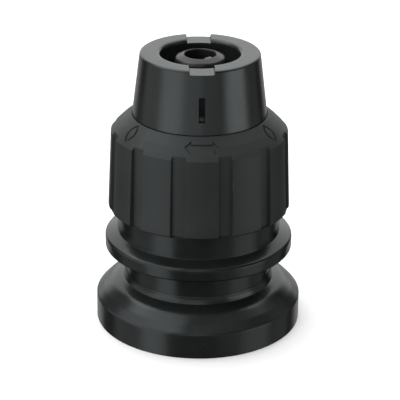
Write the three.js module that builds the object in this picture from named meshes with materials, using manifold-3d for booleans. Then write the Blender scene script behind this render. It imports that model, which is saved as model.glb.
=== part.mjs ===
// Removable hammer-drill chuck for round shanks with drive keys.
// Millimetres. Z runs up the axis from the machine end (z = 0) to the nose; -Y is the front.
// Turning the ribbed sleeve opens the shank lock, and pulling the rear collar towards the nose
// frees the chuck from its machine.
import * as THREE from "three";
import { mergeVertices } from "three/addons/utils/BufferGeometryUtils.js";
import Module from "manifold-3d";

const wasm = await Module();
wasm.setup();

// ---- driving dimensions ----
const HEIGHT = 92.2;
const BASE_R = 33.9;
const BORE_R = 5.05; // takes a 10 mm shank
const FRONT = -90; // degrees from +X, seen from the nose
const FINE = 48; // facets round the outer pieces
const PLAIN = 32; // facets round the inner pieces

// nose
const NOSE_TOP_R = 19.3;
const NOSE_FOOT_R = 21.75;
const NOSE_FOOT_Z = 72.2;
const NOSE_OPENING_R = 12.75;
const NOSE_TAIL_R = 20.9;
const NOSE_TAIL_Z = 68;
const SLOT = { width: 7.8, floor: 91 };
const MARK = { width: 1.8, low: 76.1, high: 83.85, depth: 1.3 };

// tool holder
const MOUTH_R = 8.17;
const HOLDER_R = 7.9; // behind the mouth
const HOLDER_MID_R = 10; // where the sleeve's cam turns
const HOLDER_LOW_R = 12;
const KEY = { angle: FRONT + 42, inner: 3.2, width: 2.2, low: 66, high: 90.9 };
const LUGS = 4; // on the holder's flange

// shank lock
const LOCK_BALL = { r: 3.5, z: 60, shut: 6.9, open: 8.6, angles: [KEY.angle + 90, KEY.angle - 90] };
const TWIST = 30; // degrees of sleeve turn from shut to open

// spindle socket and its coupling
const HUB_R = 20;
const HUB_TOP = 42;
const SOCKET_R = 14;
const SOCKET_DEPTH = 24;
const RIB = { count: 3, inner: 12.5, width: 6, low: 5, high: 17 };
const COUPLING_BALL = { r: 4, z: 10, shut: 17, angles: [90, 210, 330] };
const LOCK_SLOPE = 0.2; // radial rise of the lock ring's cone per millimetre of height

// ribbed sleeve
const LANDS = 12;
const LAND_TOP = { r: 28.7, z: 65.9 };
const LAND_FOOT = { r: 29.75, z: 40.4 };
const SLEEVE_FOOT_Z = 39.9;
const SHOULDER = [[22.3, 71.9], [25.4, 69.3], [27.7, 67]];
const GROOVE = { width: 4.85, top: 27.72, foot: 28.3 };
const ARROW = { length: 11, height: 4.2, shaft: 2, head: 1.9, angles: [0, 180] };
const LEAF = { length: 6.4, width: 3.6, angles: [60, 120, 240, 300] };
const MARKS = { r: 25.25, depth: 0.45 }; // arrows and leaves, sunk in the shoulder

// rear collar
const NECK_R = 24.2;
const COLLAR_BORE_R = 20.4;
const FLANGE = { r: 30.85, low: 25.8, high: 29.95 };
const SKIRT_R = 26.75;
const FILLET_TOP_Z = 17; // the rear flange feathers up the neck to here
const SPRING = { r: 22.4, wire: 1.8, turns: 5, low: 31.05, high: 48.15 };

// ---- materials ----
function finish(color, roughness, metalness) {
  return new THREE.MeshStandardMaterial({ color, roughness, metalness });
}
const blackPlastic = () => finish(0x1d1e1e, 0.45, 0);
const darkPlastic = () => finish(0x191a1a, 0.5, 0);
const blackedSteel = () => finish(0x2e2f30, 0.4, 0.8);
const steel = () => finish(0x8f9194, 0.3, 1);
const springSteel = () => finish(0x5f6266, 0.35, 1);
const bronze = () => finish(0x9a6f3a, 0.35, 1);
const rubber = () => finish(0x141414, 0.8, 0);

// ---- solids ----
function solidOf(geometry) {
  const bare = new THREE.BufferGeometry();
  const flat = geometry.index ? geometry.toNonIndexed() : geometry;
  bare.setAttribute("position", flat.getAttribute("position"));
  const merged = mergeVertices(bare, 1e-4);
  const index = merged.index.array;
  const kept = [];
  for (let i = 0; i < index.length; i += 3) {
    const [a, b, c] = [index[i], index[i + 1], index[i + 2]];
    if (a !== b && b !== c && c !== a) kept.push(a, b, c);
  }
  const vertProperties = merged.attributes.position.array;
  const triVerts = new Uint32Array(kept);
  return new wasm.Manifold(new wasm.Mesh({ numProp: 3, vertProperties, triVerts }));
}

function geometryOf(solid) {
  const { vertProperties, triVerts } = solid.getMesh();
  const geometry = new THREE.BufferGeometry();
  geometry.setAttribute("position", new THREE.BufferAttribute(vertProperties.slice(), 3));
  geometry.setIndex(new THREE.BufferAttribute(triVerts.slice(), 1));
  const flat = geometry.toNonIndexed();
  flat.computeVertexNormals();
  return flat;
}

// A closed profile of [radius, z] points, turned about Z.
function turned(profile, facets = PLAIN) {
  const loop = profile.map(([r, z]) => new THREE.Vector2(r, z));
  if (THREE.ShapeUtils.area(loop) < 0) loop.reverse();
  loop.push(loop[0].clone());
  return solidOf(new THREE.LatheGeometry(loop, facets).rotateX(Math.PI / 2));
}

// A box of width x depth x height, centred at [radius, z] and turned to an angle round Z.
// Its depth lies along the radius; lean tips its top outwards.
function blockAt(angle, r, z, depth, width, height, lean = 0) {
  const box = new THREE.BoxGeometry(depth, width, height);
  box.rotateY(THREE.MathUtils.degToRad(lean));
  box.translate(r, 0, z);
  return solidOf(box.rotateZ(THREE.MathUtils.degToRad(angle)));
}

// A round peg along the radius at an angle and height, from r0 (radius a) to r1 (radius b).
function radialPeg(angle, z, r0, a, r1, b, facets = 16) {
  const peg = new THREE.CylinderGeometry(b, a, r1 - r0, facets);
  peg.rotateZ(-Math.PI / 2);
  peg.translate((r0 + r1) / 2, 0, z);
  return solidOf(peg.rotateZ(THREE.MathUtils.degToRad(angle)));
}

function ring(inner, outer, low, high) {
  return turned([[inner, low], [outer, low], [outer, high], [inner, high]]);
}

// A retaining ring: a flat ring with a gap, and an eye at each end of the gap.
function circlip(inner, outer, low, high, angle, eyesOutside = false) {
  let clip = ring(inner, outer, low, high);
  const middle = (low + high) / 2;
  const r = eyesOutside ? outer - 1.2 : inner + 1.2;
  clip = clip.subtract(blockAt(angle, (inner + outer) / 2, middle, outer - inner + 4, 2.4, 4));
  for (const side of [-1, 1]) {
    const turn = angle + side * THREE.MathUtils.radToDeg(2.6 / r);
    const hole = new THREE.CylinderGeometry(0.5, 0.5, 4, 8).rotateX(Math.PI / 2);
    hole.translate(r, 0, middle).rotateZ(THREE.MathUtils.degToRad(turn));
    clip = clip.subtract(solidOf(hole));
  }
  return clip;
}

function repeat(count, start, make) {
  return Array.from({ length: count }, (_, i) => make(start + (360 * i) / count));
}

function joined(first, others) {
  return others.reduce((sum, next) => sum.add(next), first);
}

function cut(first, others) {
  return others.reduce((rest, next) => rest.subtract(next), first);
}

const group = new THREE.Group();
group.name = "drill_chuck";

function place(name, solid, material) {
  const mesh = new THREE.Mesh(geometryOf(solid), material);
  mesh.name = name;
  group.add(mesh);
}

// ---- nose ----
function noseCone() {
  const body = turned([
    [NOSE_OPENING_R + 1.15, HEIGHT], [NOSE_TOP_R - 0.5, HEIGHT], [NOSE_TOP_R - 0.15, HEIGHT - 0.15],
    [NOSE_TOP_R, HEIGHT - 0.6], [NOSE_FOOT_R, NOSE_FOOT_Z], [NOSE_FOOT_R - 0.25, NOSE_FOOT_Z - 0.2],
    [NOSE_TAIL_R, NOSE_FOOT_Z - 0.2], [NOSE_TAIL_R, NOSE_TAIL_Z], [17.8, NOSE_TAIL_Z],
    [17.8, 76.2], [17, 77], [11.5, 77], [11.5, 74.3], [8.2, 74.3], [8.2, 79.6], [10.9, 79.6],
    [10.9, 82.5], [NOSE_OPENING_R, 82.5], [NOSE_OPENING_R, HEIGHT - 1.15],
    [NOSE_OPENING_R + 0.34, HEIGHT - 0.34],
  ], FINE);
  const ribs = repeat(6, 0, (a) => blockAt(a, 14.8, 73.8, 7, 1.8, 7));
  const stops = [0, 180].map((a) => blockAt(a, 20.2, NOSE_TAIL_Z - 0.9, 1.2, 4, 2.4));
  const slots = [FRONT, FRONT + 180].map((a) => blockAt(a, 16, SLOT.floor + 2, 12, SLOT.width, 4));
  const lean = THREE.MathUtils.radToDeg(
    Math.atan((NOSE_TOP_R - NOSE_FOOT_R) / (HEIGHT - 0.6 - NOSE_FOOT_Z)),
  );
  const middle = (MARK.low + MARK.high) / 2;
  const share = (middle - NOSE_FOOT_Z) / (HEIGHT - 0.6 - NOSE_FOOT_Z);
  const face = NOSE_FOOT_R + (NOSE_TOP_R - NOSE_FOOT_R) * share;
  const depth = MARK.depth + 2;
  const mark = blockAt(FRONT, face + 1 - MARK.depth / 2, middle, depth, MARK.width,
    MARK.high - MARK.low, lean);
  return cut(joined(body, [...ribs, ...stops]), [...slots, mark]);
}

function dustSeal() {
  return turned([
    [8.15, 82.7], [12.6, 82.7], [12.6, 85.2], [12.2, 85.6], [9, 86], [8.25, 85.9], [8, 85.5],
    [8.5, 84.6], [8.5, 83.4],
  ]);
}

// ---- tool holder ----
function toolHolder() {
  const body = turned([
    [BORE_R, 91.15], [BORE_R + 0.1, 91.5], [BORE_R + 0.25, 91.6], [7.5, 90.75], [7.95, 90.4],
    [MOUTH_R, 89.85], [MOUTH_R, 87.2], [HOLDER_R, 86.9], [HOLDER_R, 81.2], [7.1, 81.2],
    [7.1, 79.8], [HOLDER_R, 79.8], [HOLDER_R, 74],
    [HOLDER_MID_R - 0.4, 74], [HOLDER_MID_R, 73.6], [HOLDER_MID_R, 52.2], [9.2, 52.2], [9.2, 50.8],
    [HOLDER_MID_R, 50.8], [HOLDER_MID_R, 49], [HOLDER_LOW_R, 49], [HOLDER_LOW_R, 36], [16.2, 36],
    [16.2, 30.3], [7.9, 30.3], [7.9, SOCKET_DEPTH], [6.5, SOCKET_DEPTH], [6.5, 34], [BORE_R, 35.4],
  ]);
  const lugs = repeat(LUGS, 45, (a) => blockAt(a, 16.6, 33.15, 3.2, 8, 5.7));
  const middle = (KEY.low + KEY.high) / 2;
  const keys = [0, 180].map((turn) => {
    const depth = BORE_R + 0.6 - KEY.inner;
    return blockAt(KEY.angle + turn, KEY.inner + depth / 2, middle, depth, KEY.width,
      KEY.high - KEY.low);
  });
  const windows = LOCK_BALL.angles.flatMap((a) => [
    radialPeg(a, LOCK_BALL.z, 3, 2.5, 6.9, 3.8),
    radialPeg(a, LOCK_BALL.z, 6.8, 3.8, 12, 3.8),
  ]);
  return cut(joined(body, [...lugs, ...keys]), windows);
}

function ball(spec, angle) {
  const a = THREE.MathUtils.degToRad(angle);
  const sphere = new THREE.SphereGeometry(spec.r, 16, 10);
  return solidOf(sphere.translate(spec.shut * Math.cos(a), spec.shut * Math.sin(a), spec.z));
}

// The cam turns with the sleeve. Each pocket is the path a ball takes as the sleeve turns.
function camRing() {
  const body = ring(HOLDER_MID_R + 0.3, 17, 55.5, 64.4);
  const tabs = repeat(4, 0, (a) => blockAt(a, 17.1, 60, 2.2, 5, 6));
  const steps = 6;
  const pockets = LOCK_BALL.angles.flatMap((start) =>
    Array.from({ length: steps + 1 }, (_, i) => {
      const r = LOCK_BALL.shut + ((LOCK_BALL.open - LOCK_BALL.shut) * i) / steps;
      return pocketAt(start - (TWIST * i) / steps, r);
    }),
  );
  return cut(joined(body, tabs), pockets);
}

function pocketAt(angle, r) {
  const cylinder = new THREE.CylinderGeometry(LOCK_BALL.r + 0.22, LOCK_BALL.r + 0.26, 7.6, 20);
  cylinder.rotateX(Math.PI / 2).translate(r, 0, LOCK_BALL.z);
  return solidOf(cylinder.rotateZ(THREE.MathUtils.degToRad(angle)));
}

function waveWasher() {
  const geometry = new THREE.LatheGeometry(
    [[12.4, 53.55], [18.6, 53.55], [18.6, 53.95], [12.4, 53.95], [12.4, 53.55]].map(
      ([r, z]) => new THREE.Vector2(r, z),
    ),
    PLAIN,
  ).rotateX(Math.PI / 2);
  const position = geometry.getAttribute("position");
  for (let i = 0; i < position.count; i++) {
    const turn = Math.atan2(position.getY(i), position.getX(i));
    position.setZ(i, position.getZ(i) + 0.28 * Math.cos(3 * turn));
  }
  return solidOf(geometry);
}

// ---- spindle socket ----
function spindleSocket() {
  const body = turned([
    [SOCKET_R + 0.7, 0], [SOCKET_R, 0.9], [SOCKET_R, 18.9], [15.7, 18.9], [15.7, 21.3],
    [SOCKET_R, 21.3], [SOCKET_R, SOCKET_DEPTH], [8.2, SOCKET_DEPTH], [8.2, 28], [16.5, 28],
    [16.5, 36.1], [17.5, 36.1], [17.5, 37.9], [16.5, 37.9], [16.5, 41.5], [17, HUB_TOP],
    [HUB_R - 0.5, HUB_TOP], [HUB_R, HUB_TOP - 0.5], [HUB_R, 2.6], [19.1, 2.6], [19.1, 1.1],
    [HUB_R, 1.1], [HUB_R, 0.4], [HUB_R - 0.4, 0],
  ]);
  const ribMiddle = (RIB.low + RIB.high) / 2;
  const ribs = repeat(RIB.count, 30, (a) =>
    blockAt(a, (RIB.inner + SOCKET_R + 0.6) / 2, ribMiddle, SOCKET_R + 0.6 - RIB.inner, RIB.width,
      RIB.high - RIB.low));
  const notches = repeat(LUGS, 45, (a) => blockAt(a, 16.9, 36, 3.2, 8.6, 16));
  const windows = COUPLING_BALL.angles.flatMap((a) => [
    radialPeg(a, COUPLING_BALL.z, 13.4, 2.9, 16, 4.2),
    radialPeg(a, COUPLING_BALL.z, 15.9, 4.2, 22, 4.2),
  ]);
  return cut(joined(body, ribs), [...notches, ...windows]);
}

function roundRing(r, wire, z) {
  const tube = new THREE.TorusGeometry(r, wire, 8, PLAIN);
  return solidOf(tube.translate(0, 0, z));
}

// ---- ribbed sleeve ----
function shoulderLine(sink) {
  return SHOULDER.map(([r, z]) => [r - sink * 0.75, z - sink * 0.75]);
}

function sleeveBlank(sink) {
  return [
    ...shoulderLine(sink), [LAND_TOP.r - sink, LAND_TOP.z],
    [LAND_FOOT.r - sink, LAND_FOOT.z], [LAND_FOOT.r - 0.3 - sink, SLEEVE_FOOT_Z + 0.2],
    [LAND_FOOT.r - 0.8 - sink, SLEEVE_FOOT_Z],
  ];
}

function sleeveInside(sink) {
  return [
    [27.4, SLEEVE_FOOT_Z], [27.1, 40.3], [27.1, 46.3], [26, 46.6], [26, 52.6], [25, 53.6],
    [20, 54.6], [15.5, 54.6], [15.5, 55.3], [17.25, 55.3], [17.25, 64.7], [18.2, 64.7],
    [18.2, 66], [17.25, 66], [17.25, 67.2], [21.3, 67.2], [21.3, 71.4], [21.95, 72 - sink * 0.75],
  ];
}

// A pointed oval, long up the slope.
function leafShape() {
  const steps = 6;
  const side = Array.from({ length: steps }, (_, i) => {
    const share = i / steps;
    return [(LEAF.width / 2) * Math.sin(Math.PI * share), LEAF.length * (share - 0.5)];
  });
  const outline = [...side, ...side.map(([x, y]) => [-x, -y])];
  return new THREE.Shape(outline.map(([x, y]) => new THREE.Vector2(x, y)));
}

function arrowShape() {
  const { length, height, shaft, head } = ARROW;
  const tip = length / 2;
  const neck = tip - head;
  const shape = new THREE.Shape();
  shape.moveTo(-tip, 0);
  shape.lineTo(-neck, -height / 2);
  shape.lineTo(-neck, -shaft / 2);
  shape.lineTo(neck, -shaft / 2);
  shape.lineTo(neck, -height / 2);
  shape.lineTo(tip, 0);
  shape.lineTo(neck, height / 2);
  shape.lineTo(neck, shaft / 2);
  shape.lineTo(-neck, shaft / 2);
  shape.lineTo(-neck, height / 2);
  shape.closePath();
  return shape;
}

// A shape standing square to the shoulder's slope, at an angle from the front.
function shoulderPunch(shape, angle) {
  const punch = new THREE.ExtrudeGeometry(shape, { depth: 4, bevelEnabled: false });
  punch.translate(0, 0, -2);
  const [[r0, z0], [r1, z1]] = SHOULDER;
  punch.rotateX(Math.atan2(z0 - z1, r1 - r0));
  const z = z0 + ((z1 - z0) * (MARKS.r - r0)) / (r1 - r0);
  punch.translate(0, -MARKS.r, z);
  return solidOf(punch.rotateZ(THREE.MathUtils.degToRad(angle)));
}

function gripSleeve() {
  const outer = turned([...sleeveBlank(0), ...sleeveInside(0)], FINE);
  const sunk = turned([...sleeveBlank(MARKS.depth), ...sleeveInside(MARKS.depth)], FINE);
  const punches = [
    ...ARROW.angles.map((a) => shoulderPunch(arrowShape(), a)),
    ...LEAF.angles.map((a) => shoulderPunch(leafShape(), a)),
  ];
  const engraved = joined(cut(outer, punches), [sunk]);
  const middle = (LAND_TOP.z + LAND_FOOT.z) / 2;
  const lean = THREE.MathUtils.radToDeg(
    Math.atan((GROOVE.top - GROOVE.foot) / (LAND_TOP.z - LAND_FOOT.z)),
  );
  const floor = (GROOVE.top + GROOVE.foot) / 2;
  const grooves = repeat(LANDS, FRONT + 180 / LANDS, (a) =>
    blockAt(a, floor + 2, middle, 4, GROOVE.width, 48, lean));
  const camSlots = repeat(4, 0, (a) => blockAt(a, 17.4, 61.3, 2.4, 5.4, 12));
  const stopTrack = turned([[19.3, 65.4], [21.1, 65.4], [21.1, 68], [19.3, 68]], PLAIN);
  const tracks = [0, 180].map((a) => stopTrack.intersect(trackWedge(a)));
  return cut(engraved, [...grooves, ...camSlots, ...tracks]);
}

// The sector of sleeve that a fixed stop sweeps while the sleeve turns from 0 to its full twist.
function trackWedge(angle) {
  const sector = new THREE.Shape();
  const start = THREE.MathUtils.degToRad(angle - TWIST - 8);
  const end = THREE.MathUtils.degToRad(angle + 8);
  sector.moveTo(0, 0);
  sector.lineTo(30 * Math.cos(start), 30 * Math.sin(start));
  sector.lineTo(30 * Math.cos(end), 30 * Math.sin(end));
  sector.closePath();
  const wedge = new THREE.ExtrudeGeometry(sector, { depth: 10, bevelEnabled: false });
  return solidOf(wedge.translate(0, 0, 62));
}

// ---- rear collar ----
function collarNeck() {
  return turned([
    [COLLAR_BORE_R, 14.4], [NECK_R, 14.4], [NECK_R, 24.9], [24.6, 25.3], [29.6, FLANGE.low - 0.3],
    [30.5, FLANGE.low], [FLANGE.r, FLANGE.low + 0.45], [FLANGE.r, FLANGE.high - 0.45],
    [30.45, FLANGE.high + 0.05], [27, FLANGE.high + 1.75], [SKIRT_R, FLANGE.high + 2.1],
    [SKIRT_R, 39.2], [25.7, 39.6], [25.7, 44.7], [25.4, 45], [24.8, 45], [24.6, 44.8],
    [24.6, 30], [COLLAR_BORE_R, 30],
  ], FINE);
}

function rearFlange() {
  return turned([
    [23.5, 0], [BASE_R - 0.2, 0], [BASE_R, 0.2], [BASE_R, 8.3], [33.65, 8.85], [33.1, 9.4],
    [29.6, 12.65], [27.2, 14.75], [26.4, 15.15], [25.2, 15.35], [24.6, 15.8], [24.4, FILLET_TOP_Z],
    [NECK_R + 0.1, FILLET_TOP_Z], [NECK_R + 0.1, 14.9], [24.6, 14.6], [24.6, 2.6], [23.5, 2.6],
  ], FINE);
}

function lockRing() {
  const cone = (z) => 21.3 + (COUPLING_BALL.z - z) * LOCK_SLOPE;
  return turned([[cone(2.8), 2.8], [24.3, 2.8], [24.3, 14.1], [cone(14.1), 14.1]]);
}

class Helix extends THREE.Curve {
  getPoint(t, target = new THREE.Vector3()) {
    const turn = t * SPRING.turns * 2 * Math.PI;
    const z = SPRING.low + (SPRING.high - SPRING.low) * t;
    return target.set(SPRING.r * Math.cos(turn), SPRING.r * Math.sin(turn), z);
  }
}

function collarSpring() {
  const wire = new THREE.Shape().absarc(0, 0, SPRING.wire / 2, 0, 2 * Math.PI, false);
  const settings = { extrudePath: new Helix(), steps: SPRING.turns * 18, curveSegments: 3 };
  return solidOf(new THREE.ExtrudeGeometry(wire, { ...settings, bevelEnabled: false }));
}

// ---- assembly ----
place("nose_cone", noseCone(), blackPlastic());
place("dust_seal", dustSeal(), rubber());
place("nose_circlip", circlip(7.2, 10.4, 79.95, 81.05, 180), springSteel());
place("tool_holder", toolHolder(), blackedSteel());
place("guide_bush", ring(5.25, 6.3, 24.3, 33.7), bronze());
LOCK_BALL.angles.forEach((a, i) => place(`lock_ball_${i + 1}`, ball(LOCK_BALL, a), steel()));
place("seat_circlip", circlip(9.3, 12.6, 50.95, 52.05, 0), springSteel());
place("spring_seat", ring(10.3, 24, 49.2, 50.6), steel());
place("thrust_washer", ring(10.4, 19.4, 52.4, 53.1), steel());
place("holder_circlip", circlip(13.2, 17.3, 36.35, 37.65, 90, true), springSteel());
place("damper_ring", ring(8.7, 16, 28.2, 30.1), rubber());
place("spindle_socket", spindleSocket(), steel());
place("socket_o_ring", roundRing(14.6, 0.9, 20.1), rubber());
place("collar_circlip", circlip(19.25, 23.3, 1.25, 2.45, 270), springSteel());
place("collar_spring", collarSpring(), springSteel());
place("grip_sleeve", gripSleeve(), blackPlastic());
place("cam_ring", camRing(), steel());
place("cam_circlip", circlip(15.3, 18.05, 64.85, 65.85, 45, true), springSteel());
place("wave_washer", waveWasher(), springSteel());
COUPLING_BALL.angles.forEach((a, i) =>
  place(`coupling_ball_${i + 1}`, ball(COUPLING_BALL, a), steel()));
place("collar_neck", collarNeck(), darkPlastic());
place("rear_flange", rearFlange(), blackPlastic());
place("lock_ring", lockRing(), steel());

export default group;
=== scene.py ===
"""The looks of a removable hammer-drill chuck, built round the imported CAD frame.

Lengths in the shape code are millimetres, turned to metres as each mesh is made.
+Z runs from the machine end to the nose and -Y is the front.
"""

import math

import bpy
import numpy as np
from mathutils import Matrix, Vector


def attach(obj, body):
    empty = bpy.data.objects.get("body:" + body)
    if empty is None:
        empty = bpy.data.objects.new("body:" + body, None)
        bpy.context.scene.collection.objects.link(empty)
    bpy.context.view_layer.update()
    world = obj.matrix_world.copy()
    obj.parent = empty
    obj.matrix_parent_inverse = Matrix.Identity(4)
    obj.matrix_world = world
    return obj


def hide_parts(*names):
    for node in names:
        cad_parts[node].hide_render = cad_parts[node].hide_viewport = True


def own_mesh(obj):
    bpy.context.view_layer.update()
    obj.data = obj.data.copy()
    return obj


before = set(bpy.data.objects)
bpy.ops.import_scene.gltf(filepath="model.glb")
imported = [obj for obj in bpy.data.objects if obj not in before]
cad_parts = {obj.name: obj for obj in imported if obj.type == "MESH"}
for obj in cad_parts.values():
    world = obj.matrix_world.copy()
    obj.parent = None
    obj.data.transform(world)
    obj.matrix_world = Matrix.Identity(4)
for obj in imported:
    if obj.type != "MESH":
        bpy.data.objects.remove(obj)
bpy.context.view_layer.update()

MM = 0.001
FRONT = -math.pi / 2
LANDS = 12
SMOOTH = math.radians(35)  # edges sharper than this stay crisp


# ---- shape helpers ----

def rounded(corners, step):
    """A closed loop of points from (radius, z, fillet) corners, no further apart than step(r, z)."""
    n = len(corners)
    loop = []
    for i in range(n):
        before, here, after = (np.array(corners[j % n][:2], float) for j in (i - 1, i, i + 1))
        a, b = before - here, after - here
        la, lb = np.linalg.norm(a), np.linalg.norm(b)
        a, b = a / la, b / lb
        turn = math.pi - math.acos(max(-1, min(1, float(a @ b))))
        reach = min(corners[i][2] * math.tan(turn / 2), 0.46 * la, 0.46 * lb)
        if reach < 1e-4:
            loop.append(here)
            continue
        count = max(3, int(math.degrees(turn) / 11) + 1)
        radius = reach / math.tan(turn / 2)
        centre = here + (a + b) / np.linalg.norm(a + b) * math.hypot(radius, reach)
        start, end = here + a * reach - centre, here + b * reach - centre
        sweep = math.atan2(start[0] * end[1] - start[1] * end[0], float(start @ end))
        for k in range(count + 1):
            c, s = math.cos(sweep * k / count), math.sin(sweep * k / count)
            loop.append(centre + np.array([start[0] * c - start[1] * s, start[0] * s + start[1] * c]))
    dense = []
    for p, q in zip(loop, loop[1:] + loop[:1]):
        length = np.linalg.norm(q - p)
        at = 0.0
        while at < length - 1e-6:
            point = p + (q - p) * at / length
            dense.append(point)
            gap = step(*point)
            at += length if length - at < 1.5 * gap else gap
    return np.array(dense)


def mesh_of(name, verts, faces):
    mesh = bpy.data.meshes.new(name)
    mesh.from_pydata((np.asarray(verts, float) * MM).tolist(), [], faces)
    mesh.update()
    return mesh


def piece(name, mesh, body, replaced=()):
    obj = bpy.data.objects.new(name, mesh)
    bpy.context.scene.collection.objects.link(obj)
    mesh.polygons.foreach_set("use_smooth", [True] * len(mesh.polygons))
    mesh.set_sharp_from_angle(angle=SMOOTH)
    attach(obj, body)
    if replaced:
        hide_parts(*replaced)
    return obj


def wrapped(name, x, y, z):
    """A mesh from a grid that closes on itself both ways, facing out."""
    rows, cols = x.shape
    verts = np.stack([x, y, z], -1).reshape(-1, 3)
    a = np.arange(rows * cols).reshape(rows, cols)
    b, d = np.roll(a, -1, 1), np.roll(a, -1, 0)
    c = np.roll(b, -1, 0)
    faces = np.stack([a, b, c, d], -1).reshape(-1, 4)
    p, q, s = (verts[faces[:, k]] for k in (0, 1, 2))
    if float(np.einsum("ij,ij->i", p, np.cross(q, s)).sum()) < 0:
        faces = faces[:, ::-1]
    return mesh_of(name, verts, faces.tolist())


def turned(name, corners, cols=192, step=1.2):
    loop = rounded(corners, lambda r, z: step)
    turn = np.linspace(0, 2 * math.pi, cols, endpoint=False) + FRONT
    r, z = loop[:, :1], loop[:, 1:]
    return wrapped(name, r * np.cos(turn), r * np.sin(turn), z + 0 * turn)


def washer(name, inner, outer, low, high, fillet=0.12, cols=128):
    return turned(name, [(inner, low, fillet), (outer, low, fillet),
                         (outer, high, fillet), (inner, high, fillet)], cols)


def ease(t):
    t = np.clip(t, 0, 1)
    return t * t * (3 - 2 * t)


def soft_min(a, b, k):
    h = np.clip(0.5 + 0.5 * (b - a) / k, 0, 1)
    return b * (1 - h) + a * h - k * h * (1 - h)


# ---- solids cut and joined by booleans ----

def block_mesh(name, angle, r, z, depth, width, height):
    """A box at [radius, z] turned to an angle, its depth along the radius."""
    verts, faces = [], []
    for sx in (-1, 1):
        for sy in (-1, 1):
            for sz in (-1, 1):
                verts.append((r + sx * depth / 2, sy * width / 2, z + sz * height / 2))
    faces = [(0, 1, 3, 2), (4, 6, 7, 5), (0, 4, 5, 1), (2, 3, 7, 6), (0, 2, 6, 4), (1, 5, 7, 3)]
    mesh = mesh_of(name, verts, faces)
    mesh.transform(Matrix.Rotation(angle, 4, "Z"))
    return mesh


def spun_mesh(name, profile, angle, z, cols=40):
    """A solid turned about a radial line at an angle and height, from [along, radius] points."""
    turn = np.linspace(0, 2 * math.pi, cols, endpoint=False)
    verts = [(profile[0][0], 0, 0)]
    for along, radius in profile[1:-1]:
        verts += [(along, radius * math.cos(t), radius * math.sin(t)) for t in turn]
    verts.append((profile[-1][0], 0, 0))
    rings = len(profile) - 2
    last = len(verts) - 1
    faces = []
    for k in range(cols):
        n = (k + 1) % cols
        faces.append((0, 1 + n, 1 + k))
        for i in range(rings - 1):
            a, b = 1 + i * cols, 1 + (i + 1) * cols
            faces.append((a + k, a + n, b + n, b + k))
        faces.append((last, 1 + (rings - 1) * cols + k, 1 + (rings - 1) * cols + n))
    mesh = mesh_of(name, verts, faces)
    mesh.transform(Matrix.Translation((0, 0, z * MM)))
    mesh.transform(Matrix.Rotation(angle, 4, "Z"))
    return mesh


def carved(name, mesh, steps):
    """Applies (operation, mesh) booleans one after another and returns the new mesh."""
    collection = bpy.context.scene.collection
    obj = bpy.data.objects.new(name, mesh)
    collection.objects.link(obj)
    tools = []
    for i, (operation, tool_mesh) in enumerate(steps):
        tool = bpy.data.objects.new(f"{name}_tool_{i}", tool_mesh)
        collection.objects.link(tool)
        tools.append(tool)
        boolean = obj.modifiers.new(f"cut_{i}", "BOOLEAN")
        boolean.operation = operation
        boolean.solver = "EXACT"
        boolean.object = tool
    graph = bpy.context.evaluated_depsgraph_get()
    result = bpy.data.meshes.new_from_object(obj.evaluated_get(graph))
    for extra in [obj, *tools]:
        bpy.data.objects.remove(extra)
    return result


# ---- nose ----
NOSE_TOP, NOSE_R, NOSE_FOOT_R, NOSE_FOOT, OPENING_R = 92.2, 19.3, 21.78, 71.96, 12.75
NOSE_SKIN_R = 19  # only the nose's outer face lies past this radius
RIM_LOW = 84  # the slots only touch the rim, above this height
SLOT_HALF, SLOT_FLOOR, SLOT_EDGE, SLOT_BLEND = 3.9, 91.0, 0.14, 0.3
MARK_HALF, MARK_LOW, MARK_HIGH, MARK_SHALLOW, MARK_DEEP = 0.9, 76.1, 83.85, 0.5, 2.4
CUT_EDGE = 0.09  # half the width over which the wall of an engraved mark falls
SLOT_NEAR = (0, .02, .05, .09, .14, .22, .35)  # column distances from a slot's side
MARK_NEAR = (0, .02, .06, .1, .16, .25, .4)  # column distances from the index mark's side
BETWEEN = {4.8, 3.2, 2.7, 2.2, 1.8, .3}  # columns between those
SIDE_COLUMNS = 60


def nose_columns(radius):
    """Column angles at a radius. Near the front and the back they run parallel, along the slots."""
    side = sorted({SLOT_HALF + s * d for d in SLOT_NEAR for s in (-1, 1)}
                  | {MARK_HALF + s * d for d in MARK_NEAR for s in (-1, 1)} | BETWEEN)
    across = np.array([-s for s in reversed(side)] + side)
    front = np.arcsin(across[None, :] / radius[:, None]) - math.pi / 2
    back = front + math.pi
    share = (np.arange(1, SIDE_COLUMNS) / SIDE_COLUMNS)[None, :]
    right = front[:, -1:] + (back[:, :1] - front[:, -1:]) * share
    left = right + math.pi
    return np.concatenate([front, right, back, left], 1)


def nose_step(r, z):
    """Point spacing along the nose's profile, fine at the rim's corner and the mark's ends."""
    if r > 18.6 and z > 90.4:
        return 0.09
    if r > NOSE_SKIN_R and min(abs(z - MARK_LOW), abs(z - MARK_HIGH)) < 0.5:
        return 0.07
    return 0.9


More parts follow.
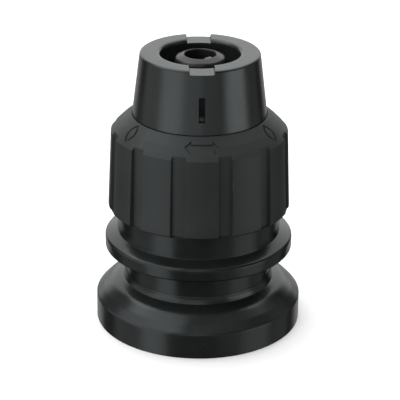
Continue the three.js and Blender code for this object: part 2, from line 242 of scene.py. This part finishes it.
def nose_mesh():
    loop = rounded([
        (OPENING_R, NOSE_TOP, 1.15), (NOSE_R, NOSE_TOP, 0.75), (NOSE_FOOT_R, NOSE_FOOT, 0.12),
        (20.9, NOSE_FOOT - 0.1, 0.1), (20.9, 68, 0.3), (17.8, 68, 0.3), (17.8, 77, 0.8),
        (11.5, 77, 0.8), (11.5, 74.3, 0.2), (8.2, 74.3, 0.2), (8.2, 79.6, 0.1), (10.9, 79.6, 0.1),
        (10.9, 82.5, 0.1), (OPENING_R, 82.5, 0.3),
    ], nose_step)
    r, z = loop[:, :1], loop[:, 1:]
    turn = nose_columns(loop[:, 0])
    z = z + 0 * turn
    r = r + 0 * turn
    across = r * np.cos(turn)
    inside = ease((SLOT_HALF + SLOT_EDGE - abs(across)) / (2 * SLOT_EDGE))
    low = soft_min(z, SLOT_FLOOR, SLOT_BLEND)
    z = np.where(z > RIM_LOW, z + (low - z) * inside, z)
    slope = math.atan2(NOSE_FOOT_R - NOSE_R, NOSE_TOP - NOSE_FOOT)
    climb = np.clip((z - MARK_LOW) / (MARK_HIGH - MARK_LOW), 0, 1)
    marked = (ease((MARK_HALF + CUT_EDGE - abs(across)) / (2 * CUT_EDGE))
              * ease((z - MARK_LOW + CUT_EDGE) / (2 * CUT_EDGE))
              * ease((MARK_HIGH + CUT_EDGE - z) / (2 * CUT_EDGE))
              * (np.sin(turn) < 0) * (r > NOSE_SKIN_R)
              * (MARK_DEEP + (MARK_SHALLOW - MARK_DEEP) * climb))
    r = r - marked * math.cos(slope)
    z = z - marked * math.sin(slope)
    return wrapped("nose_shell", r * np.cos(turn), r * np.sin(turn), z)


def seal_mesh():
    return turned("dust_ring", [
        (8.15, 82.7, .1), (12.65, 82.7, .1), (12.65, 85.1, .25), (12.1, 85.35, .2), (11.9, 84.9, .2),
        (11.3, 84.9, .2), (11.1, 85.45, .2), (9.2, 86, .3), (8, 85.75, .15), (8.5, 84.6, .3),
        (8.5, 83.4, .3),
    ], 160)


# ---- tool holder ----
KEY_ANGLE = FRONT + math.radians(42)
KEY_R, KEY_DEPTH, KEY_WIDTH, KEY_FOOT = 4.35, 2.58, 2.6, 66
KEYS = ((KEY_ANGLE, 91.1), (KEY_ANGLE + math.pi, 86))  # angle and top of the key and its twin
LOCK_ANGLES = [KEY_ANGLE + math.pi / 2, KEY_ANGLE - math.pi / 2]
LOCK_BALL_R, LOCK_BALL_AT, LOCK_Z = 3.5, 6.9, 60
COUPLING_BALL_R, COUPLING_BALL_AT, COUPLING_Z = 4, 17, 10
LUG_ANGLES = [math.radians(45 + 90 * k) for k in range(4)]  # where tool holder and socket interlock
BORE = 5.05


def holder_mesh():
    tube = turned("mouth_tube", [
        (BORE, 91.25, .25), (5.3, 91.6, .2), (7.75, 90.66, 1.2), (8.17, 89.75, .6), (8.17, 87, .1),
        (7.9, 86.8, .1), (7.9, 81.2, .05),
        (7.1, 81.2, .1), (7.1, 79.8, .1), (7.9, 79.8, .05), (7.9, 74, .15), (10, 74, .5),
        (10, 52.2, .05), (9.2, 52.2, .1), (9.2, 50.8, .1), (10, 50.8, .05), (10, 49, .2),
        (12, 49, .3), (12, 36, .3), (16.2, 36, .4), (16.2, 30.3, .4), (7.9, 30.3, .3),
        (7.9, 24, .4), (6.5, 24, .2), (6.5, 34, .2), (BORE, 35.4, .3),
    ], 144, 3)
    steps = []
    for angle in LUG_ANGLES:
        steps.append(("UNION", block_mesh("lug", angle, 16.6, 33.15, 3.2, 8, 5.6)))
    for angle, top in KEYS:
        middle, height = (KEY_FOOT + top) / 2, top - KEY_FOOT
        steps.append(("UNION", block_mesh("key", angle, KEY_R, middle, KEY_DEPTH, KEY_WIDTH, height)))
    for angle in LOCK_ANGLES:
        window = [(3, 0), (3, 2.5), (6.9, 3.8), (12, 3.8), (12, 0)]
        steps.append(("DIFFERENCE", spun_mesh("window", window, angle, LOCK_Z)))
    return carved("mouth_tube", tube, steps)


def socket_mesh():
    hub = turned("socket_body", [
        (14.7, 0, .15), (14, .9, .3), (14, 18.9, .05), (15.7, 18.9, .15), (15.7, 21.3, .15),
        (14, 21.3, .05), (14, 24, .4), (8.2, 24, .2), (8.2, 28, .2), (16.5, 28, .4),
        (16.5, 36.1, .05), (17.5, 36.1, .1), (17.5, 37.9, .1), (16.5, 37.9, .05), (16.5, 41.5, .1),
        (17, 42, .15), (19.5, 42, .15), (20, 41.5, .15), (20, 2.6, .05), (19.1, 2.6, .1),
        (19.1, 1.1, .1), (20, 1.1, .05), (20, .4, .1), (19.6, 0, .1),
    ], 160, 3)
    steps = []
    for k in range(3):
        angle = math.radians(30 + 120 * k)
        steps.append(("UNION", block_mesh("rib", angle, 13.55, 11, 2.1, 6, 12)))
        window = [(13.2, 0), (13.2, 2.7), (16, 4.2), (22, 4.2), (22, 0)]
        cut = spun_mesh("window", window, angle + math.pi / 3, COUPLING_Z)
        steps.append(("DIFFERENCE", cut))
    for angle in LUG_ANGLES:
        steps.append(("DIFFERENCE", block_mesh("notch", angle, 16.9, 36, 3.2, 8.6, 16)))
    return carved("socket_body", hub, steps)


def ball_mesh(name, radius, distance, angle, z, cols=48):
    """A steel ball with a faint flat at each of its two poles."""
    flat = 0.02
    around = np.linspace(0, math.pi, cols // 2 + 1)
    profile = [(-radius + flat, 0)]
    for t in around[1:-1]:
        along = max(-radius + flat, min(radius - flat, -radius * math.cos(t)))
        profile.append((along, radius * math.sin(t)))
    profile.append((radius - flat, 0))
    shifted = [(distance + along, r) for along, r in profile]
    return spun_mesh(name, shifted, angle, z, cols)


def ring_cord(name, radius, wire, z):
    """A round rubber or wire ring of a given centre-line radius."""
    turn = np.linspace(0, 2 * math.pi, 160, endpoint=False)[None, :]
    section = np.linspace(0, 2 * math.pi, 20, endpoint=False)[:, None]
    r = radius + wire * np.cos(section)
    height = z + wire * np.sin(section)
    return wrapped(name, r * np.cos(turn), r * np.sin(turn), height + 0 * turn)


# ---- ribbed sleeve ----
LAND_HALF = math.radians(10.55)
WALL = 0.36  # width of a land's side wall, along the circumference
WALL_R = 28.5  # radius at which that width is measured
WALL_TURN = math.radians(0.75)  # half the turn that gets close columns at each wall
ENGRAVED_COLUMNS, PLAIN_COLUMNS, WALL_COLUMNS, GROOVE_COLUMNS = 84, 14, 13, 30
SHOULDER_TOP, SHOULDER_R, SHOULDER_LOW, SHOULDER_LOW_R = 71.9, 22.3, 69.3, 25.4
LAND_TOP_R, LAND_TOP, LAND_FOOT_R, LAND_FOOT = 28.7, 65.9, 29.75, 40.35
GROOVE_TOP_R, GROOVE_FOOT_R = 27.72, 28.3
MARKS_R, MARKS_Z, SUNK = 25.25, 69.43, 0.5  # arrows and leaves engraved in the shoulder
ARROW_HALF, ARROW_HEAD, ARROW_TALL, ARROW_SHAFT = 5.5, 1.9, 2.1, 1.0
LEAF_HALF_LONG, LEAF_HALF_WIDE, LEAF_LINE = 3.3, 2.0, 0.35


def sleeve_columns():
    """Angles round the sleeve, close together over the walls and the engraved lands."""
    offsets = []
    for k in range(LANDS):
        centre = FRONT + 2 * math.pi * k / LANDS
        spread = ENGRAVED_COLUMNS if k % 2 == 0 else PLAIN_COLUMNS
        span = LAND_HALF - WALL_TURN
        offsets += list(centre + np.linspace(-span, span, spread))
        for side in (-1, 1):
            steps = np.linspace(-0.85, 0.85, WALL_COLUMNS) * WALL_TURN
            offsets += list(centre + side * (LAND_HALF + steps))
        gap = math.pi / LANDS * 2 - 2 * LAND_HALF - 2 * WALL_TURN
        start = centre + LAND_HALF + WALL_TURN
        offsets += list(start + gap * np.arange(1, GROOVE_COLUMNS) / GROOVE_COLUMNS)
    return np.unique(np.round(offsets, 9))


def box_distance(x, y, half_x, half_y):
    """Distance to the edge of a rectangle: negative inside it."""
    dx, dy = abs(x) - half_x, abs(y) - half_y
    outside = np.hypot(np.maximum(dx, 0), np.maximum(dy, 0))
    return outside + np.minimum(np.maximum(dx, dy), 0)


def arrow_distance(x, y):
    """Distance to the edge of a double arrow lying along x: negative inside it."""
    x = abs(x)
    shaft = box_distance(x, y, ARROW_HALF - ARROW_HEAD + 0.3, ARROW_SHAFT)
    normal = np.array([ARROW_TALL, ARROW_HEAD]) / math.hypot(ARROW_TALL, ARROW_HEAD)
    slant = (x - ARROW_HALF) * normal[0] + abs(y) * normal[1]
    head = np.maximum(slant, ARROW_HALF - ARROW_HEAD - x)
    return np.minimum(shaft, head)


def leaf_distance(x, y):
    """Distance to the edge of a pointed oval, long in y: negative inside it."""
    radius = (LEAF_HALF_WIDE ** 2 + LEAF_HALF_LONG ** 2) / (2 * LEAF_HALF_WIDE)
    return np.hypot(abs(x) + radius - LEAF_HALF_WIDE, y) - radius


def sleeve_step(r, z):
    """Point spacing along the sleeve's profile, fine on the shoulder and at the foot."""
    if r > 21.9 and 65.2 < z < 71.95:
        return 0.12
    if r > 26 and z < 41.5:
        return 0.2
    return 1.6


def sleeve_mesh():
    loop = rounded([
        (21.95, SHOULDER_TOP, .12), (SHOULDER_R, SHOULDER_TOP, .12),
        (SHOULDER_LOW_R, SHOULDER_LOW, 6),
        (27.7, 67, 3), (LAND_TOP_R, LAND_TOP, .3), (LAND_FOOT_R, LAND_FOOT, .5),
        (29.05, 39.8, .35), (27.4, 39.9, .2), (27.1, 40.3, .2), (27.1, 46.3, .3), (26, 46.6, .3),
        (26, 52.6, .5), (25, 53.6, .5), (20, 54.6, .5), (15.5, 54.6, .2), (15.5, 55.3, .1),
        (17.25, 55.3, .1), (17.25, 64.7, .1), (18.2, 64.7, .1), (18.2, 66, .1), (17.25, 66, .1),
        (17.25, 67.2, .2), (21.3, 67.2, .3), (21.3, 71.4, .3),
    ], sleeve_step)
    turn = sleeve_columns()[None, :]
    r, z = loop[:, :1] + 0 * turn, loop[:, 1:] + 0 * turn
    outer = (r > 22.2) & (z > 39.95) & ((r > 27.25) | (z > 60))  # the outside, above the foot

    # every second land's shoulder is engraved: arrows at the front and back, leaves between them
    near = (turn - FRONT + math.pi / 6) % (math.pi / 3) - math.pi / 6
    lean = math.atan2(SHOULDER_TOP - SHOULDER_LOW, SHOULDER_LOW_R - SHOULDER_R)
    across = near * MARKS_R
    down = (r - MARKS_R) * math.cos(lean) - (z - MARKS_Z) * math.sin(lean)
    fore_and_aft = abs(np.sin(turn)) > 0.9
    outline = abs(leaf_distance(across, down) + LEAF_LINE) - LEAF_LINE
    distance = np.where(fore_and_aft, arrow_distance(across, down), outline)
    cut = ease((CUT_EDGE - distance) / (2 * CUT_EDGE)) * SUNK
    cut = np.where((z > 65.5) & (r > 21.9), cut, 0)
    r = r - cut * math.sin(lean)
    z = z - cut * math.cos(lean)

    # grooves between the lands
    from_land = abs((turn - FRONT + math.pi / LANDS) % (2 * math.pi / LANDS) - math.pi / LANDS)
    groove = ease(((from_land - LAND_HALF) * WALL_R + WALL / 2) / WALL)
    share = (LAND_TOP - z) / (LAND_TOP - LAND_FOOT)
    floor = GROOVE_TOP_R + (GROOVE_FOOT_R - GROOVE_TOP_R) * share
    lowered = soft_min(r, floor, 0.16)
    r = np.where(outer, r + (lowered - r) * groove, r)
    return wrapped("sleeve_shell", r * np.cos(turn), r * np.sin(turn), z)


# ---- rear collar ----

def collar_mesh():
    return turned("collar_shell", [
        (20.4, 14.4, .2), (24.2, 14.4, .2), (24.2, 25.2, .7), (30.4, 25.6, .35), (30.85, 26.1, .35),
        (30.85, 29.5, .4), (30.4, 30.1, .42), (26.75, 31.6, .08), (26.75, 39.3, .4),
        (25.7, 39.7, .3), (25.7, 45, .3), (24.6, 45, .3), (24.6, 30, .3), (20.4, 30, .3),
    ], 256, 0.7)


def flange_mesh():
    return turned("base_shell", [
        (23.5, 0, .15), (33.9, 0, .15), (33.9, 8.3, .35), (33.6, 8.75, .5), (31.5, 11, 5),
        (28.2, 13.8, 6), (24.8, 14.75, .2), (24.4, 16.1, .6), (24.34, 17.3, .02), (24.3, 17.3, .01),
        (24.3, 14.2, .1), (24.6, 13.9, .1), (24.6, 2.6, .2), (23.5, 2.6, .1),
    ], 256, 0.7)


def lock_ring_mesh():
    return turned("lock_cone", [
        (22.74, 2.8, .15), (24.3, 2.8, .2), (24.3, 14.1, .2), (20.48, 14.1, .15),
    ], 160, 2)


def spring_mesh():
    """The collar's return spring: round wire, five turns."""
    r, wire, turns, low, high = 22.4, 0.9, 5, 31.05, 48.15
    steps, around = 5 * 72, 16
    verts, faces = [], []
    for i in range(steps + 1):
        t = i / steps
        turn = 2 * math.pi * turns * t
        centre = Vector((r * math.cos(turn), r * math.sin(turn), low + (high - low) * t))
        out = Vector((math.cos(turn), math.sin(turn), 0))
        for k in range(around):
            a = 2 * math.pi * k / around
            verts.append(centre + out * wire * math.cos(a) + Vector((0, 0, wire * math.sin(a))))
    for i in range(steps):
        for k in range(around):
            n = (k + 1) % around
            a, b = i * around, (i + 1) * around
            faces.append((a + k, a + n, b + n, b + k))
    faces.append(tuple(range(around)))
    last = steps * around
    faces.append(tuple(last + k for k in reversed(range(around))))
    return mesh_of("return_spring", verts, faces)


# ---- materials ----
# Noise scales are per metre and bump distances are metres.
COLOR_A, COLOR_B, COLOR_RESULT = 6, 7, 2  # the colour sockets of a Mix node
WEAR_GAIN, WEAR_LIFT = 1.9, 0.006  # how much paler a rubbed edge of the plastic is
COOL = (0.9, 1.0, 1.0, 1.0)  # tint of the plastics' sheen


class Nodes:
    """A thin wrapper that adds and links shader nodes."""

    def __init__(self, name):
        self.material = bpy.data.materials.new(name)
        self.material.use_nodes = True
        self.tree = self.material.node_tree
        self.shader = self.tree.nodes["Principled BSDF"]
        self.place = self.add("ShaderNodeTexCoord").outputs["Object"]

    def add(self, kind, **values):
        node = self.tree.nodes.new(kind)
        for key, value in values.items():
            if key in node.inputs:
                node.inputs[key].default_value = value
            else:
                setattr(node, key, value)
        return node

    def link(self, a, b):
        self.tree.links.new(a, b)

    def noise(self, scale, detail=3.0, rough=0.5, stretch=None):
        node = self.add("ShaderNodeTexNoise", Scale=scale, Detail=detail, Roughness=rough)
        source = self.place
        if stretch:
            mapping = self.add("ShaderNodeMapping", Scale=stretch)
            self.link(source, mapping.inputs["Vector"])
            source = mapping.outputs["Vector"]
        self.link(source, node.inputs["Vector"])
        return node.outputs["Fac"]

    def spread(self, source, low, high, start=0.3, end=0.7):
        node = self.add("ShaderNodeMapRange")
        node.inputs["From Min"].default_value = start
        node.inputs["From Max"].default_value = end
        node.inputs["To Min"].default_value = low
        node.inputs["To Max"].default_value = high
        self.link(source, node.inputs["Value"])
        return node.outputs["Result"]

    def maths(self, operation, a, b):
        node = self.add("ShaderNodeMath", operation=operation)
        for socket, value in zip(node.inputs, (a, b)):
            if isinstance(value, (int, float)):
                socket.default_value = value
            else:
                self.link(value, socket)
        return node.outputs[0]

    def mix(self, factor, a, b):
        node = self.add("ShaderNodeMix", data_type="RGBA")
        self.link(factor, node.inputs["Factor"])
        for socket, value in ((node.inputs[COLOR_A], a), (node.inputs[COLOR_B], b)):
            if isinstance(value, tuple):
                socket.default_value = (*value, 1)
            else:
                self.link(value, socket)
        return node.outputs[COLOR_RESULT]

    def bump(self, height, strength, distance, after=None):
        node = self.add("ShaderNodeBump", Strength=strength, Distance=distance)
        self.link(height, node.inputs["Height"])
        if after:
            self.link(after, node.inputs["Normal"])
        return node.outputs["Normal"]

    def finish(self, color=None, roughness=None, normal=None, **fixed):
        for socket, source in (("Base Color", color), ("Roughness", roughness), ("Normal", normal)):
            if source is not None:
                self.link(source, self.shader.inputs[socket])
        for key, value in fixed.items():
            socket = key.replace("_", " ").title().replace("Ior", "IOR")
            self.shader.inputs[socket].default_value = value
        return self.material


def moulded(name, dark, light, rough_low, rough_high, grain=0.1, specular=0.5):
    """Satin black glass-filled plastic: fine spark-eroded grain, soft mottling, faint rub marks."""
    n = Nodes(name)
    mottle = n.noise(90, 4, 0.6)
    grain_fine = n.noise(2600, 2, 0.6)
    flow = n.noise(240, 3, 0.55, (1, 1, 0.35))
    edge = n.add("ShaderNodeNewGeometry").outputs["Pointiness"]
    worn = n.spread(edge, 0, 1, 0.53, 0.62)
    base = n.mix(n.spread(mottle, 0, 1), dark, light)
    rubbed = tuple(WEAR_GAIN * c + WEAR_LIFT for c in light)
    color = n.mix(n.maths("MULTIPLY", worn, n.spread(flow, 0.15, 0.6)), base, rubbed)
    rough = n.maths("ADD", n.spread(mottle, rough_low, rough_high), n.spread(flow, -0.025, 0.025))
    normal = n.bump(grain_fine, grain, 0.00006)
    normal = n.bump(flow, 0.05, 0.0003, normal)
    return n.finish(color, rough, normal, specular_ior_level=specular, specular_tint=COOL)


def machined(name, dark, light, rough_low, rough_high, metallic=1.0, lines=1500, depth=0.12):
    """Turned or ground steel: fine rings round the axis, with stains and small scuffs."""
    n = Nodes(name)
    rings = n.noise(lines, 2, 0.6, (0.02, 0.02, 1))
    stain = n.noise(170, 5, 0.6)
    scuff = n.noise(900, 2, 0.5, (1, 1, 0.2))
    color = n.mix(n.spread(stain, 0, 1), dark, light)
    rough = n.maths("ADD", n.spread(stain, rough_low, rough_high), n.spread(rings, -0.05, 0.05))
    normal = n.bump(rings, depth, 0.00005)
    normal = n.bump(scuff, 0.04, 0.0001, normal)
    return n.finish(color, rough, normal, metallic=metallic)


def rubbery(name, dark, light):
    """Matt black rubber with a dusty bloom."""
    n = Nodes(name)
    bloom = n.noise(260, 5, 0.65)
    skin = n.noise(1900, 3, 0.6)
    color = n.mix(n.spread(bloom, 0, 1), dark, light)
    rough = n.spread(bloom, 0.62, 0.82)
    return n.finish(color, rough, n.bump(skin, 0.2, 0.00008))


def sintered(name, dark, light):
    """Pressed and sintered metal: open pores and uneven patches."""
    n = Nodes(name)
    pores = n.add("ShaderNodeTexVoronoi", Scale=2300.0)
    n.link(n.place, pores.inputs["Vector"])
    hole = n.spread(pores.outputs["Distance"], 0, 1, 0.05, 0.35)
    patch = n.noise(300, 4, 0.6)
    color = n.mix(n.spread(patch, 0, 1), dark, light)
    rough = n.spread(patch, 0.32, 0.5)
    return n.finish(color, rough, n.bump(hole, 0.25, 0.00006), metallic=1.0)


def make_materials():
    return {
        "nose": moulded("nose_plastic", (.0150, .0156, .0160), (.0190, .0198, .0200), .25, .30),
        "sleeve": moulded("sleeve_plastic", (.0340, .0366, .0366), (.0410, .0440, .0438), .44, .50,
                          0.1, 0.30),
        "collar": moulded("collar_plastic", (.0170, .0188, .0190), (.0208, .0228, .0230), .21, .26,
                          0.1, 0.38),
        "flange": moulded("flange_plastic", (.0200, .0216, .0218), (.0246, .0264, .0266), .22, .27,
                          0.1, 0.42),
        "holder": machined("black_oxide_steel", (.016, .016, .017), (.03, .03, .031), .3, .38,
                           0.35, 1400, 0.08),
        "socket": machined("ground_steel", (.3, .3, .31), (.42, .42, .43), .24, .36),
        "cam": sintered("sintered_steel", (.24, .24, .25), (.34, .34, .345)),
        "ball": machined("lapped_steel", (.52, .52, .53), (.6, .6, .61), .08, .16, 1.0, 800, 0.01),
        "spring": machined("blued_spring_steel", (.05, .055, .07), (.1, .105, .12), .28, .4),
        "washer": machined("plated_steel", (.4, .4, .41), (.52, .52, .53), .28, .42, 1.0, 900),
        "bronze": sintered("sintered_bronze", (.36, .2, .07), (.47, .28, .11)),
        "rubber": rubbery("nitrile_rubber", (.024, .0252, .0254), (.036, .0376, .0378)),
    }


# the finish of each CAD node, so that none is left plain
NODE_FINISH = {
    "nose_cone": "nose", "dust_seal": "rubber", "nose_circlip": "spring", "tool_holder": "holder",
    "guide_bush": "bronze", "lock_ball_1": "ball", "lock_ball_2": "ball", "seat_circlip": "spring",
    "spring_seat": "washer", "thrust_washer": "washer", "holder_circlip": "spring",
    "damper_ring": "rubber", "spindle_socket": "socket", "socket_o_ring": "rubber",
    "collar_circlip": "spring", "collar_spring": "spring", "grip_sleeve": "sleeve",
    "cam_ring": "cam", "cam_circlip": "spring", "wave_washer": "spring",
    "coupling_ball_1": "ball", "coupling_ball_2": "ball", "coupling_ball_3": "ball",
    "collar_neck": "collar", "rear_flange": "flange", "lock_ring": "cam",
}


def paint(obj, material):
    obj.data.materials.clear()
    obj.data.materials.append(material)


# ---- assembly ----

def build_pieces(look):
    made = [
        (piece("nose_shell", nose_mesh(), "holder", ["nose_cone"]), "nose"),
        (piece("dust_ring", seal_mesh(), "holder", ["dust_seal"]), "rubber"),
        (piece("mouth_tube", holder_mesh(), "holder", ["tool_holder"]), "holder"),
        (piece("rear_bush", washer("rear_bush", 5.25, 6.3, 24.3, 33.7, .25), "holder",
               ["guide_bush"]), "bronze"),
        (piece("socket_body", socket_mesh(), "holder", ["spindle_socket"]), "socket"),
        (piece("spindle_seal", ring_cord("spindle_seal", 14.6, .9, 20.1), "holder",
               ["socket_o_ring"]), "rubber"),
        (piece("sleeve_shell", sleeve_mesh(), "grip", ["grip_sleeve"]), "sleeve"),
        (piece("collar_shell", collar_mesh(), "collar", ["collar_neck"]), "collar"),
        (piece("base_shell", flange_mesh(), "collar", ["rear_flange"]), "flange"),
        (piece("lock_cone", lock_ring_mesh(), "collar", ["lock_ring"]), "cam"),
    ]
    for i, (angle, body) in enumerate(zip(LOCK_ANGLES, ("lock_ball_a", "lock_ball_b"))):
        name = f"shank_ball_{i + 1}"
        mesh = ball_mesh(name, LOCK_BALL_R, LOCK_BALL_AT, angle, LOCK_Z)
        made.append((piece(name, mesh, body, [f"lock_ball_{i + 1}"]), "ball"))
    for i, degrees in enumerate((90, 210, 330)):
        name = f"spindle_ball_{i + 1}"
        mesh = ball_mesh(name, COUPLING_BALL_R, COUPLING_BALL_AT, math.radians(degrees), COUPLING_Z)
        body = f"coupling_ball_{'abc'[i]}"
        made.append((piece(name, mesh, body, [f"coupling_ball_{i + 1}"]), "ball"))
    spring = piece("return_spring", spring_mesh(), "holder", ["collar_spring"])
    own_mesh(spring)
    made.append((spring, "spring"))
    for obj, finish_name in made:
        paint(obj, look[finish_name])


# ---- studio ----
CAMERA = {"distance": 0.582, "azimuth": -2.0, "elevation": 23.45, "lens": 158.98, "roll": 0.566}
SHIFT = (0.00302, 0.00035)
TARGET = Vector((0.0, 0.0, 0.0408))
FLOOR_HALF, FLOOR_Z = 3000, -0.02


def make_camera():
    data = bpy.data.cameras.new("camera")
    data.lens = CAMERA["lens"]
    data.sensor_width = 36
    data.shift_x, data.shift_y = SHIFT
    data.clip_start, data.clip_end = 0.01, 20
    camera = bpy.data.objects.new("camera", data)
    bpy.context.scene.collection.objects.link(camera)
    a, e = math.radians(CAMERA["azimuth"]), math.radians(CAMERA["elevation"])
    back = Vector((math.sin(a) * math.cos(e), -math.cos(a) * math.cos(e), math.sin(e)))
    camera.location = TARGET + back * CAMERA["distance"]
    turn = (-back).to_track_quat("-Z", "Y").to_matrix().to_4x4()
    roll = Matrix.Rotation(math.radians(CAMERA["roll"]), 4, "Z")
    camera.matrix_world = Matrix.Translation(camera.location) @ turn @ roll
    bpy.context.scene.camera = camera


def make_floor():
    signs = ((-1, -1), (1, -1), (1, 1), (-1, 1))
    corners = [(x * FLOOR_HALF, y * FLOOR_HALF, FLOOR_Z) for x, y in signs]
    mesh = mesh_of("floor", corners, [(0, 1, 2, 3)])
    floor = bpy.data.objects.new("floor", mesh)
    bpy.context.scene.collection.objects.link(floor)
    n = Nodes("pale_floor")
    cloud = n.noise(3, 2, 0.5)
    paint(floor, n.finish(n.mix(n.spread(cloud, 0, 1), (.86, .86, .86), (.88, .88, .88)),
                          n.spread(cloud, .8, .85)))
    floor.visible_glossy = False  # the floor must not veil the dark surfaces
    floor.visible_diffuse = False
    return floor


# Soft boxes of the studio: azimuth from the front, half width, lowest and highest elevation, light
BOXES = [
    (-53, 15, -42, -17, 1.3),
    (-90, 20, -42, -17, 0.35),
    (-52, 22, -17, 3, 2.0),
    (-96, 20, -17, 20, 0.55),
    (-12, 16, -17, 3, 1.05),
    (-56, 30, 3, 20, 0.9),
    (-70, 38, 20, 45, 1.25),
    (20, 14, -17, 3, 0.65),
    (64, 21, -17, 3, 2.3),
    (68, 18, -42, -17, 0.7),
    (36, 14, -42, -17, 0.25),
    (64, 16, 3, 30, 0.5),
    (106, 14, -42, 45, 0.25),
    (-88, 62, 45, 74, 1.75),
    (-6, 16, 8, 26, 1.5),
    (-4, 14, 34, 54, 0.6),
    (80, 90, 45, 74, 0.3),
    (0, 180, 80, 100, 1.5),
    (180, 80, 45, 74, 2.0),
    (180, 40, 2, 45, 1.35),
    (180, 40, -60, 2, 0.5),
]
EDGE = 5.0  # degrees over which a box fades in


def make_world():
    """The soft boxes as light, and a plain pale backdrop where the camera looks past the floor."""
    world = bpy.data.worlds.new("studio")
    bpy.context.scene.world = world
    world.use_nodes = True
    tree = world.node_tree
    tree.nodes.clear()
    out = tree.nodes.new("ShaderNodeOutputWorld")

    def maths(operation, *values):
        node = tree.nodes.new("ShaderNodeMath")
        node.operation = operation
        for socket, value in zip(node.inputs, values):
            if isinstance(value, (int, float)):
                socket.default_value = value
            else:
                tree.links.new(value, socket)
        return node.outputs[0]

    def rise(value, start, end, low=0.0, high=1.0):
        node = tree.nodes.new("ShaderNodeMapRange")
        node.interpolation_type = "SMOOTHSTEP"
        node.inputs["From Min"].default_value = start
        node.inputs["From Max"].default_value = end
        node.inputs["To Min"].default_value = low
        node.inputs["To Max"].default_value = high
        tree.links.new(value, node.inputs["Value"])
        return node.outputs["Result"]

    place = tree.nodes.new("ShaderNodeTexCoord").outputs["Generated"]
    split = tree.nodes.new("ShaderNodeSeparateXYZ")
    tree.links.new(place, split.inputs[0])
    x, y, z = split.outputs
    azimuth = maths("MULTIPLY", maths("ARCTAN2", x, maths("MULTIPLY", y, -1.0)), 180 / math.pi)
    elevation = maths("MULTIPLY", maths("ARCSINE", z), 180 / math.pi)
    light = None
    for centre, half, low, high, strength in BOXES:
        box = maths("MULTIPLY", rise(elevation, low - EDGE, low + EDGE, 0.0, strength),
                    rise(elevation, high - EDGE, high + EDGE, 1.0, 0.0))
        if half < 180:
            turned_by = maths("WRAP", maths("SUBTRACT", azimuth, float(centre)), 180.0, -180.0)
            away = maths("ABSOLUTE", turned_by)
            box = maths("MULTIPLY", box, rise(away, half - EDGE, half + EDGE, 1.0, 0.0))
        light = box if light is None else maths("ADD", light, box)
    studio = tree.nodes.new("ShaderNodeBackground")
    studio.inputs["Color"].default_value = (1, 1, 1, 1)
    tree.links.new(light, studio.inputs["Strength"])
    plain = tree.nodes.new("ShaderNodeBackground")
    plain.inputs["Color"].default_value = (0.95, 0.95, 0.95, 1)
    mixer = tree.nodes.new("ShaderNodeMixShader")
    path = tree.nodes.new("ShaderNodeLightPath")
    tree.links.new(path.outputs["Is Camera Ray"], mixer.inputs[0])
    tree.links.new(studio.outputs[0], mixer.inputs[1])
    tree.links.new(plain.outputs[0], mixer.inputs[2])
    tree.links.new(mixer.outputs[0], out.inputs["Surface"])


def make_floor_light(floor):
    """A broad sun that lights the floor alone and casts the soft shadow on it."""
    data = bpy.data.lights.new("floor_light", "SUN")
    data.energy = 2.0
    data.angle = math.radians(100)
    light = bpy.data.objects.new("floor_light", data)
    bpy.context.scene.collection.objects.link(light)
    lit = bpy.data.collections.new("lit_by_floor_light")
    lit.objects.link(floor)
    light.light_linking.receiver_collection = lit


look = make_materials()
build_pieces(look)
for node_name, finish_name in NODE_FINISH.items():
    paint(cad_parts[node_name], look[finish_name])
make_camera()
stage_floor = make_floor()
make_world()
make_floor_light(stage_floor)
bpy.context.scene.view_settings.view_transform = "Standard"
